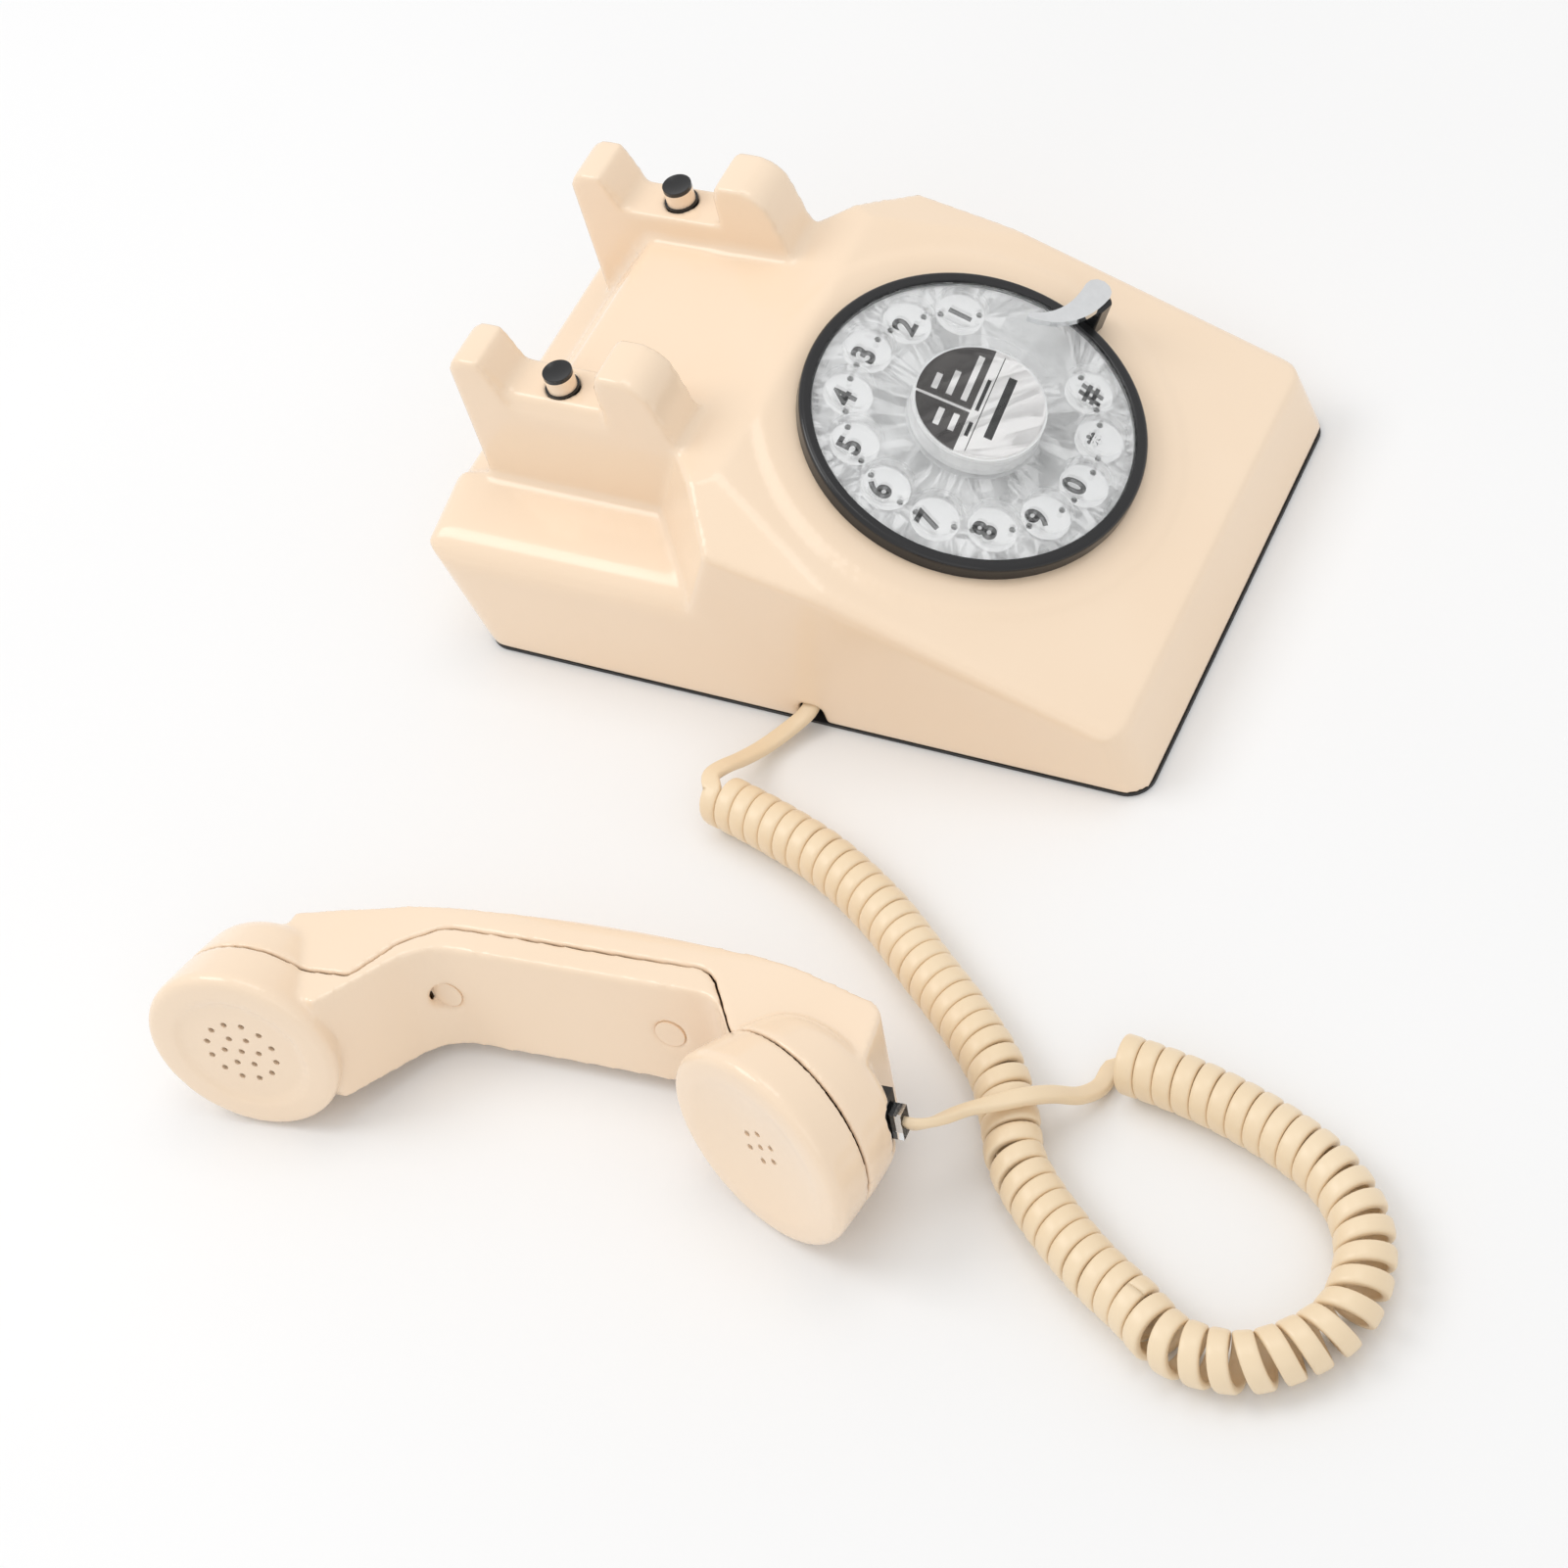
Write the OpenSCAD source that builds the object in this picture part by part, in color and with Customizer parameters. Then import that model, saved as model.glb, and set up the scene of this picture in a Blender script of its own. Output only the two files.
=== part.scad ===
// Wall telephone with a dial-shaped keypad, a two-pronged cradle and a handset on a curly cord.
// Millimetres. The wall face lies on z = 0 and +Z points out of the wall.
// +Y points up the wall, towards the cradle. The dial's centre is over x = 0, y = 0.
// The handset is off the hook and lies on its side on the same surface, on the left.

/* [Body] */
// width of the housing
body_width = 132.4; // [120:0.1:145]
// height of the housing below the dial's centre
body_below = 65.4; // [55:0.1:75]
// height of the housing above the dial's centre, at the wall
body_above = 127.8; // [110:0.1:135]
// thickness of the moulded walls
wall = 2.4; // [1.6:0.1:3.5]
// inward lean of the bottom wall, in degrees
bottom_lean = 14; // [5:0.5:25]
// outward lean of the top wall, in degrees
top_lean = 12.5; // [5:0.5:25]
// radius of the soft ridge along both sides of the dial face
ridge_radius = 3.5; // [2.5:0.5:9]
// height of the shoulders beside the cradle
shoulder_high = 43.5; // [38:0.5:48]
// height of the shoulders at the side walls, before the edge is rounded
shoulder_low = 39.5; // [30:0.1:42]
// radius of the rounded edge between the shoulders and the side walls
side_roll = 9; // [4:0.5:12]
// radius of the upright corners beside the cradle
corner_radius = 8; // [4:0.5:10]

/* [Dial] */
// height of the dial's centre above the wall
dial_height = 53.1; // [48:0.1:58]
// tilt of the dial face, in degrees
dial_tilt = 24; // [15:0.5:30]
// outer radius of the black ring
ring_radius = 45; // [40:0.5:50]
// radius of the raised round land under the ring
land_radius = 54.9; // [50:0.1:58]
// radius of the circle that the keys lie on
key_circle = 32.4; // [30:0.1:34]
// radius of one clear key
key_radius = 6; // [5:0.1:6.5]
// angle of the first key from +X, in degrees
key_start = 30; // [20:1:40]
// angle from key to key, in degrees
key_step = 26; // [24:0.5:28]
// how far a key goes down
key_travel = 1.2; // [0.8:0.1:1.5]
// radius of the hands-free button
button_radius = 17.2; // [14:0.1:18]

/* [Cradle] */
// distance between the two forks
fork_gap = 54.6; // [50:0.1:60]
// width of each fork
fork_width = 14.6; // [12:0.1:18]
// height of the saddle floor
saddle_height = 75.9; // [70:0.1:80]
// near and far ends of the saddle floor
saddle_from = 81.1; // [78:0.1:84]
saddle_to = 110.2; // [105:0.1:115]
// radius of the hook plungers
plunger_radius = 3.9; // [2.5:0.1:4]
// how far the plungers stand out of the saddles
plunger_rise = 5.7; // [5:0.1:7]
// how far the plungers go down
plunger_travel = 4; // [3:0.1:4.2]

/* [Handset] */
// distance between the centres of the two caps
cap_spacing = 135.2; // [130:0.1:145]
// radius of the ear cap
ear_radius = 25.3; // [23:0.1:28]
// radius of the mouth cap
mouth_radius = 27.3; // [24:0.1:30]
// tilt of the ear cap, in degrees
ear_tilt = 4.5; // [0:0.5:15]
// tilt of the mouth cap, in degrees
mouth_tilt = 23.5; // [10:0.5:30]
// width of the handle
handle_width = 33; // [28:0.5:36]
// depth from the caps to the handle's inner face
handle_depth = 30.4; // [26:0.1:34]

/* [Cord] */
// outer diameter of the curly cord's coil
coil_diameter = 14; // [12:0.5:16]
// width and thickness of the flat cord
cord_width = 5; // [4:0.1:6]
cord_thickness = 2.4; // [2:0.1:3]

/* [Hidden] */
$fn = 64;
half = body_width / 2;
cream = [0.95, 0.84, 0.72];
black = [0.06, 0.06, 0.07];
clear = [0.85, 0.9, 0.92, 0.35];
steel = [0.7, 0.7, 0.72];
green = [0.1, 0.35, 0.2];
grey = [0.5, 0.5, 0.52];
silver = [0.86, 0.87, 0.88];

// the dial frame: local z = 0 is the top of the black ring
land_top = -4.5;
land_step = 0.6;
plate_top = -1.7;
dial_hole = 43.2;

// the forks
fork_in = fork_gap / 2;
fork_out = fork_in + fork_width;
plunger_x = fork_in + fork_width / 2;
plunger_y = 96;
floor_under = saddle_height - 3.4;

// the hook lever turns about this line
pivot_y = 75;
pivot_z = 46;

// corner of the cut that slopes from the dial face down to each shoulder
riser = [fork_out, 72.6, shoulder_high];
riser_turn = 48.5;
riser_lean = 18.3;
// top of the flat part between the dial face and the forks
plateau = 68.5;

// handset at rest, lying on its caps' rims
handset_at = [-207.2, 40.4, 25.9];
handset_turn = -84.5;
handset_roll = 78.4;
handset_dip = 0.87;
ear_at = [-cap_spacing / 2, 0, 0];
mouth_at = [cap_spacing / 2, 0, 0];

// the curly cord's centre line, in two lengths
coil_near = [
    [-99.6, 36.4, 7], [-104, 18, 7], [-110, 0, 7], [-120, -19, 7], [-132, -36, 7],
    [-142, -50, 7], [-153, -63, 7], [-164, -71, 7], [-174, -77, 7],
    [-183, -87, 7], [-193, -102, 7], [-200, -116, 7]
];
coil_far = [
    [-200, -116, 7], [-206, -128, 7], [-205, -143, 7], [-197, -154, 7],
    [-187, -160, 7], [-175, -160, 7], [-164, -155, 7], [-155, -145, 7],
    [-149, -131, 7], [-145, -116, 7], [-143, -103, 7], [-142, -90, 7]
];
// the flat ends of the cord
base_tail = [
    [-61.85, 27, 6.2], [-63.5, 27, 6], [-67, 27.8, 4.8], [-72, 31, 3.4], [-79, 34.6, 3.6],
    [-86, 37, 6.4], [-92, 38.4, 10.2], [-97, 39, 12.4]
];
handset_tail = [
    [-141, -86.6, 1.6], [-147, -86, 2.2], [-152.5, -83.5, 5.5], [-157, -79.5, 11],
    [-161.5, -75.5, 15], [-166, -70.5, 16.8], [-171, -65, 18.6], [-177.5, -61.4, 22.2],
    [-180.6, -58.1, 23.9], [-180.9, -55.6, 23.9]
];

// ---- helpers -------------------------------------------------------------

function unit(v) = v / norm(v);

// points of the arc that rounds corner b of the path a, b, c
function corner(a, b, c, r, n) =
    let (u = unit(a - b), v = unit(c - b), bend = acos(u * v) / 2)
    let (m = b + unit(u + v) * r / sin(bend))
    let (s = b + u * r / tan(bend) - m, e = b + v * r / tan(bend) - m)
    let (from = atan2(s[1], s[0]), sweep = atan2(s[0] * e[1] - s[1] * e[0], s * e))
    [for (i = [0 : n]) m + r * [cos(from + sweep * i / n), sin(from + sweep * i / n)]];

// outline from points [x, y, corner radius]
function outline(p, n = 6) = [
    for (i = [0 : len(p) - 1])
        let (a = p[(i + len(p) - 1) % len(p)], b = p[i], c = p[(i + 1) % len(p)])
        each (b[2] > 0 ? corner([a[0], a[1]], [b[0], b[1]], [c[0], c[1]], b[2], n) : [[b[0], b[1]]])
];

// rectangle with round corners
module round_rect(x0, y0, x1, y1, r) {
    translate([x0 + r, y0]) square([x1 - x0 - 2 * r, y1 - y0]);
    translate([x0, y0 + r]) square([x1 - x0, y1 - y0 - 2 * r]);
    for (x = [x0 + r, x1 - r], y = [y0 + r, y1 - r])
        translate([x, y]) circle(r);
}

// outline given in y and z, run across from x0 to x1
module across(x0, x1, p) {
    translate([x0, 0, 0]) rotate([90, 0, 90]) linear_extrude(x1 - x0) polygon(p);
}

// box from one corner to the other
module block(a, b) {
    translate(a) cube(b - a);
}

// the dial's own frame
module on_dial() {
    translate([0, 0, dial_height]) rotate([dial_tilt, 0, 0]) children();
}

// the handset's own frame: x from ear to mouth, z the way the caps face
module on_handset() {
    translate(handset_at) rotate([handset_roll, 0, handset_turn]) rotate([0, 0, handset_dip]) children();
}
module on_ear() {
    translate(ear_at) rotate([0, ear_tilt, 0]) children();
}
module on_mouth() {
    translate(mouth_at) rotate([0, -mouth_tilt, 0]) children();
}

// places its children at every key
module at_keys() {
    for (i = [0 : 11]) at_key(i) children();
}
module at_key(i) {
    rotate([0, 0, key_start + key_step * i]) translate([key_circle, 0, 0]) children();
}

// tube with walls of w across and t deep, swept along a list of points
function along(p, i) = unit(p[min(i + 1, len(p) - 1)] - p[max(i - 1, 0)]);
function ring(p, i, w, t, n) =
    let (d = along(p, i), s = unit(cross([0, 0, 1], d)), u = cross(d, s))
    [for (k = [0 : n - 1]) p[i] + s * cos(360 * (k + 0.5) / n) * w / 2 + u * sin(360 * (k + 0.5) / n) * t / 2];
module swept(p, w, t, n = 12) {
    points = [for (i = [0 : len(p) - 1]) each ring(p, i, w, t, n)];
    sides = [for (i = [0 : len(p) - 2], k = [0 : n - 1])
        [i * n + k, i * n + (k + 1) % n, (i + 1) * n + (k + 1) % n, (i + 1) * n + k]];
    near_end = [[for (k = [0 : n - 1]) n - 1 - k]];
    far_end = [[for (k = [0 : n - 1]) (len(p) - 1) * n + k]];
    polyhedron(points, concat(near_end, sides, far_end), convexity = 10);
}

// smooth curve through a list of points, m steps between neighbours
function spline(p, m) = concat([
    for (i = [0 : len(p) - 2], k = [0 : m - 1])
        let (a = p[max(i - 1, 0)], b = p[i], c = p[i + 1], d = p[min(i + 2, len(p) - 1)], t = k / m)
        0.5 * (2 * b + (c - a) * t + (2 * a - 5 * b + 4 * c - d) * t * t + (3 * b - a - 3 * c + d) * t * t * t)
], [p[len(p) - 1]]);

// ---- housing -------------------------------------------------------------

// wedge that carries the dial face; inset moves every wall inwards
module front_body(inset) {
    w = half - inset;
    r = ridge_radius - inset / 2;
    face = land_top - land_step - inset;
    crown = 0.4;
    top = plateau - inset;
    intersection() {
        across(-w, w, [
            [-body_below - 9, -20], [-body_below - 9, 120], [30, 120],
            [30, top + 0.4], [50, top], each ramp_crest(inset), [118 - inset, -20]
        ]);
        on_dial() rotate([90, 0, 0]) linear_extrude(300, center = true) polygon(outline([
            [-w, -150, 0], [-w, face - crown, r], [-20, face, 400], [20, face, 400],
            [w, face - crown, r], [w, -150, 0]
        ]));
        rotate([-bottom_lean, 0, 0]) translate([0, 0, -60]) linear_extrude(200)
            round_rect(-w, (-body_below + inset) * cos(bottom_lean), w, 200, 7 - inset);
        union() {
            block([-fork_out + inset, -200, -100], [fork_out - inset, 300, 200]);
            intersection() {
                below_riser(1, inset);
                below_riser(-1, inset);
            }
        }
        below_facet(1, inset);
        below_facet(-1, inset);
    }
}

// everything under the facet that widens towards the top of the ridge on one side
module below_facet(side, inset) {
    fall = [-0.39, 0.26];
    up = unit([-fall[0], -fall[1], 1]);
    fore = unit(cross(up, [1, 0, 0]));
    out = cross(fore, up);
    mirror([side < 0 ? 1 : 0, 0, 0]) multmatrix([
        [out[0], fore[0], up[0], half],
        [out[1], fore[1], up[1], 5],
        [out[2], fore[2], up[2], 49.7],
        [0, 0, 0, 1]
    ]) translate([-300, -200, -200 - inset]) cube([400, 400, 200]);
}

// everything on the dial's side of the sloping cut beside one fork
module below_riser(side, inset) {
    mirror([side < 0 ? 1 : 0, 0, 0])
        translate(riser) rotate([0, -riser_lean, riser_turn])
            translate([-300 - inset, -200, -200]) cube([300, 400, 400]);
}

// low part behind the dial, with a sloping shoulder on each side
module shoulder_body(inset) {
    w = half - 0.02 - inset * 1.05;
    top = shoulder_high - inset;
    low = shoulder_low - inset;
    intersection() {
        translate([0, 160, 0]) rotate([90, 0, 0]) linear_extrude(140) polygon(outline([
            [-w, -20, 0], [-w, low, side_roll], [-fork_out, top, 30], [fork_out, top, 30], [w, low, side_roll], [w, -20, 0]
        ]));
        rotate([-top_lean, 0, 0]) translate([0, 0, -60]) linear_extrude(200)
            round_rect(-w, -20, w, (body_above - inset) * cos(top_lean), corner_radius - inset);
        union() {
            across(-fork_out, fork_out, roll_off(top, 5 - inset / 2, inset));
            shoulder_roll(1, inset);
            shoulder_roll(-1, inset);
        }
    }
}

// side view of the ledge behind the ramp, rolling over into the leaning top wall
ledge_fall = 4.2;
function roll_off(top, r, inset) = outline([
    [0, -20, 0], [0, top, 0], [122, top, 0],
    [body_above - inset + (top - ledge_fall) * tan(top_lean), top - ledge_fall, r],
    [body_above - inset - 20 * tan(top_lean), -20, 0]
]);

// the same roll along a sloping shoulder
module shoulder_roll(side, inset) {
    slope = atan((shoulder_high - shoulder_low) / (half - fork_out));
    up = [sin(slope), 0, cos(slope)];
    out = unit(cross([0, cos(top_lean), -sin(top_lean)], up));
    fore = cross(up, out);
    lean = asin(-([0, cos(top_lean), -sin(top_lean)] * up));
    start = [fork_out, body_above - inset + (shoulder_high - inset) * tan(top_lean), shoulder_high - inset];
    mirror([side < 0 ? 1 : 0, 0, 0]) intersection() {
        block([fork_out, 0, -20], [90, 200, 90]);
        multmatrix([
            [out[0], fore[0], up[0], start[0]],
            [out[1], fore[1], up[1], start[1]],
            [out[2], fore[2], up[2], start[2]],
            [0, 0, 0, 1]
        ]) across(-60, 60, outline([
            [-130, -80, 0], [-130, 0, 0], [0, 0, 6 - inset / 2], [-80 * tan(lean), -80, 0]
        ]));
    }
}

// rounded top edge and foot of the ramp behind the forks
function ramp_crest(s) = [
    each corner([50, plateau - s], [103.5 - s / 2, plateau - 0.64 - s], [124.3 - s, 41.8 - s], 3.5, 6),
    [124.3 - s, 41.8 - s]
];

// side view of one fork
function fork_view() = outline([
    [62.9, 50, 0], [60.8, 67, 0], [66.4, 90, 9], [80.3, 90, 2.5], [saddle_from, saddle_height, 0],
    [saddle_to, saddle_height, 0], [114.7, 86.4, 1.5], [124.3, 86.4, 4.5], [124.6, 43, 0], [124, 30, 0], [80, 30, 0]
]);

module fork(side) {
    mirror([side < 0 ? 1 : 0, 0, 0]) difference() {
        across(fork_in, fork_out, fork_view());
        translate([0, saddle_to + 0.5, 0]) rotate([90, 0, 0]) linear_extrude(saddle_to - saddle_from + 1)
            polygon([
                [fork_out - 1.8, saddle_height + 4], [fork_out - 1.8, saddle_height],
                [fork_out + 0.2, saddle_height - 6.4], [fork_out + 2, saddle_height + 4]
            ]);
    }
}

module fork_hollow(side) {
    mirror([side < 0 ? 1 : 0, 0, 0]) {
        across(fork_in + wall, fork_out - wall, outline([
            [66, 30, 0], [66, 66, 0], [68.3, 86.8, 4], [77.6, 86.8, 1], [78.4, floor_under, 0],
            [112.6, floor_under, 0], [116.5, 83.4, 0], [119.8, 83.4, 1], [120, 70, 0], [110, 60, 0], [110, 30, 0]
        ]));
    }
}

module housing() {
    color(cream) difference() {
        union() {
            front_body(0);
            shoulder_body(0);
            fork(1);
            fork(-1);
            intersection() {
                on_dial() translate([0, 0, land_top - 10]) cylinder(h = 10, r = land_radius, $fn = 96);
                across(-half, half, [[-70, 0], [-70, 90], [40, 90], [40, plateau + 0.5], [90, plateau], [90, 0]]);
            }
        }
        // open back
        block([-90, -90, -30], [90, 170, 1]);
        difference() {
            union() {
                front_body(wall);
                shoulder_body(wall);
            }
            // bosses for the base screws
            at_base_screws() translate([0, 0, 2.7]) cylinder(h = 60, r = 3.4);
        }
        at_base_screws() cylinder(h = 14, r = 1.55);
        fork_hollow(1);
        fork_hollow(-1);
        on_dial() translate([0, 0, land_top - 30]) cylinder(h = 40, r = dial_hole, $fn = 96);
        for (x = [-plunger_x, plunger_x])
            translate([x, plunger_y, floor_under - 5]) cylinder(h = 12, r = plunger_radius + 0.45);
        // notch for the handset cord
        block([-half - 5, 23.6, -1], [-half + 6, 30.4, 7]);
    }
}

// ---- base ----------------------------------------------------------------

keyhole_low = -20;
keyhole_high = 80;
line_at = [32, -42];
speaker_at = [42, 92];

module keyhole(y) {
    translate([0, y, -1]) cylinder(h = 6, r = 4.5);
    block([-2.1, y, -1], [2.1, y + 9, 5]);
    translate([0, y + 9, -1]) cylinder(h = 6, r = 2.1);
}

board_posts = [[-34, 22], [34, 22], [-34, 58], [34, 58]];

module at_base_screws() {
    for (x = [-57, 57], y = [-54, 108])
        translate([x, y, 0]) children();
}

module base_plate() {
    color(black) difference() {
        union() {
            linear_extrude(1) round_rect(-half + 0.4, -body_below + 0.4, half - 0.4, body_above - 0.4, 7);
            translate([0, 0, 1]) linear_extrude(1.6)
                round_rect(-half + 3, -body_below + 3.2, half - 3, body_above - 3.2, 6);
            for (p = board_posts) translate([p[0], p[1], 2.6]) cylinder(h = 5.4, r = 3);
        }
        keyhole(keyhole_low);
        keyhole(keyhole_high);
        translate([line_at[0] - 6, line_at[1] - 4.5, -1]) cube([12, 9, 5]);
        for (p = board_posts) translate([p[0], p[1], 3]) cylinder(h = 6, r = 1.15);
        at_base_screws() {
            translate([0, 0, -1]) cylinder(h = 5, r = 1.7);
            translate([0, 0, -1]) cylinder(h = 2.6, r = 3.1);
        }
        for (i = [-3 : 3]) translate([speaker_at[0] - 12, speaker_at[1] + i * 4 - 0.9, -1]) cube([24, 1.8, 5]);
        block([-half - 2, 23.6, 1], [-half + 8, 30.4, 4]);
    }
}

// sunk into the back of the plate, with a slot across each head
module base_screws() {
    color(steel) at_base_screws() difference() {
        union() {
            translate([0, 0, 0.2]) cylinder(h = 1.35, r = 2.9);
            translate([0, 0, 0.8]) cylinder(h = 11.2, r = 1.5);
        }
        cube([10, 0.9, 1.4], center = true);
    }
}

module main_board() {
    color(green) difference() {
        block([-40, 16, 8], [40, 64, 9.6]);
        for (p = board_posts) translate([p[0], p[1], 7]) cylinder(h = 4, r = 1.6);
    }
}

module board_screws() {
    color(steel) for (p = board_posts) translate([p[0], p[1], 0]) {
        translate([0, 0, 4.5]) cylinder(h = 5.2, r = 1.1);
        translate([0, 0, 9.65]) cylinder(h = 1.6, r = 2.4);
    }
}

module line_socket() {
    color(black) difference() {
        block([line_at[0] - 8, line_at[1] - 7, 2.65], [line_at[0] + 8, line_at[1] + 7, 16]);
        block([line_at[0] - 5.9, line_at[1] - 4.4, 0], [line_at[0] + 5.9, line_at[1] + 4.4, 13.5]);
    }
}

module base_cord_socket() {
    color(black) difference() {
        block([-62.9, 20, 2.65], [-46, 34, 11.4]);
        block([-66, 22.9, 3.7], [-48.5, 31.1, 8.9]);
    }
}

module ring_speaker() {
    color(grey) translate([speaker_at[0], speaker_at[1], 2.65]) {
        difference() {
            cylinder(h = 4, r = 16);
            translate([0, 0, -1]) cylinder(h = 3.4, r = 13.5);
        }
        translate([0, 0, 4]) cylinder(h = 5, r = 9);
    }
}

module base_weight() {
    color(steel) block([-60, 70, 2.65], [-28, 100, 14.6]);
}

// ---- hook switch ---------------------------------------------------------

module hook_bracket() {
    color(steel) difference() {
        union() {
            for (x = [-19, 17]) block([x, 68, 2.65], [x + 2, 82, 51]);
            block([-17, 68, 20], [17, 69.6, 42]);
            for (x = [-27, 19]) block([x, 68, 2.65], [x + 8, 82, 4]);
        }
        translate([-30, pivot_y, pivot_z]) rotate([0, 90, 0]) cylinder(h = 60, r = 1.55);
    }
}

module hook_lever_pin() {
    color(steel) translate([-20, pivot_y, pivot_z]) rotate([0, 90, 0]) {
        cylinder(h = 40, r = 1.5);
        translate([0, 0, -1]) cylinder(h = 0.9, r = 2.6);
        translate([0, 0, 40.1]) cylinder(h = 0.9, r = 2.6);
    }
}

module hook_switch() {
    color(black) {
        block([-9, 69.65, 28], [9, 85, 40.6]);
        block([-2, 80, 40.6], [2, 84, 42]);
    }
}

module hook_spring() {
    color(steel) for (x = [-16.2, 10.2])
        translate([x, pivot_y, pivot_z]) rotate([0, 90, 0]) difference() {
            cylinder(h = 6, r = 2.9);
            translate([0, 0, -1]) cylinder(h = 8, r = 1.9);
        }
}

module hook_lever() {
    color(grey) difference() {
        union() {
            translate([-9.8, pivot_y, pivot_z]) rotate([0, 90, 0]) cylinder(h = 19.6, r = 3.2);
            for (x = [-8, 4]) block([x, pivot_y, pivot_z], [x + 4, 94, pivot_z + 2.2]);
            block([-4, pivot_y, pivot_z - 1.9], [4, 84, pivot_z + 1.4]);
            block([-38, 93, pivot_z + 1], [38, 99, pivot_z + 3.2]);
        }
        translate([-30, pivot_y, pivot_z]) rotate([0, 90, 0]) cylinder(h = 60, r = 1.55);
    }
}

plunger_foot = pivot_z + 4.2;
cap_thick = 1.2;

module plunger(x) {
    color(cream) translate([x, plunger_y, 0]) {
        translate([0, 0, plunger_foot])
            cylinder(h = saddle_height + plunger_rise - cap_thick - plunger_foot, r = plunger_radius);
        translate([0, 0, floor_under - 3.5]) cylinder(h = 1.6, r = plunger_radius + 0.6);
    }
}

module plunger_cap(x) {
    color(black) translate([x, plunger_y, saddle_height + plunger_rise - cap_thick]) difference() {
        cylinder(h = cap_thick, r = plunger_radius);
        translate([0, 0, cap_thick + 13.2]) sphere(r = 13.7, $fn = 96);
    }
}

module plunger_bushing(x) {
    color(black) translate([x, plunger_y, 0]) difference() {
        union() {
            translate([0, 0, floor_under - 1.5]) cylinder(h = 5, r = plunger_radius + 0.4);
            translate([0, 0, saddle_height]) cylinder(h = 0.5, r = plunger_radius + 0.6);
        }
        translate([0, 0, floor_under - 3]) cylinder(h = 10, r = plunger_radius + 0.06);
    }
}

module plunger_left() { plunger(-plunger_x); }
module plunger_right() { plunger(plunger_x); }
module plunger_cap_left() { plunger_cap(-plunger_x); }
module plunger_cap_right() { plunger_cap(plunger_x); }
module plunger_bushing_left() { plunger_bushing(-plunger_x); }
module plunger_bushing_right() { plunger_bushing(plunger_x); }

// ---- dial ----------------------------------------------------------------

module dial_ring() {
    color(black) on_dial() difference() {
        rotate_extrude($fn = 96) polygon(outline([
            [42, 0, 0.5], [ring_radius, 0, 1.2], [ring_radius, land_top, 0], [42.9, land_top, 0],
            [42.9, -9.5, 0], [39.6, -9.5, 0], [39.6, -2.9, 0], [41.6, -2.9, 0], [41.6, -0.8, 0]
        ]));
        for (a = [90, 210, 330])
            rotate([0, 0, a]) translate([41.25, 0, -10]) cylinder(h = 5, r = 1, $fn = 24);
    }
}

// printed plate under the clear keys
module dial_plate() {
    color(silver) on_dial() difference() {
        translate([0, 0, plate_top - 1.2]) cylinder(h = 1.2, r = 41.5, $fn = 96);
        at_keys() for (y = [-5.1, 5.1])
            translate([0, y, -5]) cylinder(h = 5, r = 0.85, $fn = 24);
        translate([0, 0, -5]) cylinder(h = 5, r = 4.6);
    }
}

// clear moulding with a collar round every key and a raised boss round the button
module finger_plate() {
    rim = button_radius + 0.35;
    color(clear) on_dial() difference() {
        union() {
            rotate_extrude($fn = 96) polygon(outline([
                [rim, plate_top, 0], [41.4, plate_top, 0], [41.4, 0.2, 0.4], [40.4, 0.2, 0], [40, 0.9, 0.3],
                [24.4, 0.9, 4], [22, 5.2, 1.8], [rim + 1.2, 5.8, 0.4], [rim, 5.4, 0]
            ], 4));
            at_keys() translate([0, 0, plate_top]) cylinder(h = 3.4, r = key_radius + 1.15);
        }
        at_keys() translate([0, 0, plate_top - 1]) cylinder(h = 8, r = key_radius + 0.35);
    }
}

// one clear key: a dished disc on two legs
module key(i) {
    color(clear) on_dial() at_key(i) {
        difference() {
            translate([0, 0, plate_top + 1.6]) cylinder(h = 2.6, r = key_radius);
            translate([0, 0, 2.5 + 19]) sphere(r = 20, $fn = 96);
        }
        for (y = [-5.1, 5.1]) translate([0, y, -4.8]) cylinder(h = 5.4, r = 0.6, $fn = 24);
    }
}

// underside of the card in the button
card_under = 6.1;

module hands_free_button() {
    color(silver) on_dial() {
        translate([0, 0, plate_top + 1.6]) cylinder(h = card_under - plate_top - 1.6, r = button_radius, $fn = 96);
        translate([0, 0, -4.8]) cylinder(h = 5, r = 4.2);
    }
}

module hands_free_card() {
    color(grey) on_dial() translate([0, 0, card_under]) cylinder(h = 0.4, r = button_radius - 0.6, $fn = 96);
}

module hands_free_lens() {
    steps = 8;
    color(clear) on_dial() translate([0, 0, card_under + 0.4]) rotate_extrude($fn = 96) polygon(concat(
        [[0, 0], [button_radius, 0]],
        [for (i = [steps : -1 : 0]) let (r = button_radius * i / steps) [r, 1.3 - r * r / 300]]
    ));
}

module key_mat() {
    color(grey) on_dial() {
        difference() {
            translate([0, 0, -9.5]) cylinder(h = 1.6, r = 39.3, $fn = 96);
            translate([0, 0, -10]) cylinder(h = 3, r = 1);
        }
        at_keys() translate([0, 0, -7.9]) cylinder(h = 2.7 - key_travel, r = 5.4, $fn = 48);
        translate([0, 0, -7.9]) cylinder(h = 2.7 - key_travel, r = 6);
    }
}

module key_board() {
    color(green) on_dial() difference() {
        translate([0, 0, -11.1]) cylinder(h = 1.6, r = 42.6, $fn = 96);
        for (a = [90, 210, 330])
            rotate([0, 0, a]) translate([41.25, 0, -12]) cylinder(h = 5, r = 1, $fn = 24);
    }
}

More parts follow.
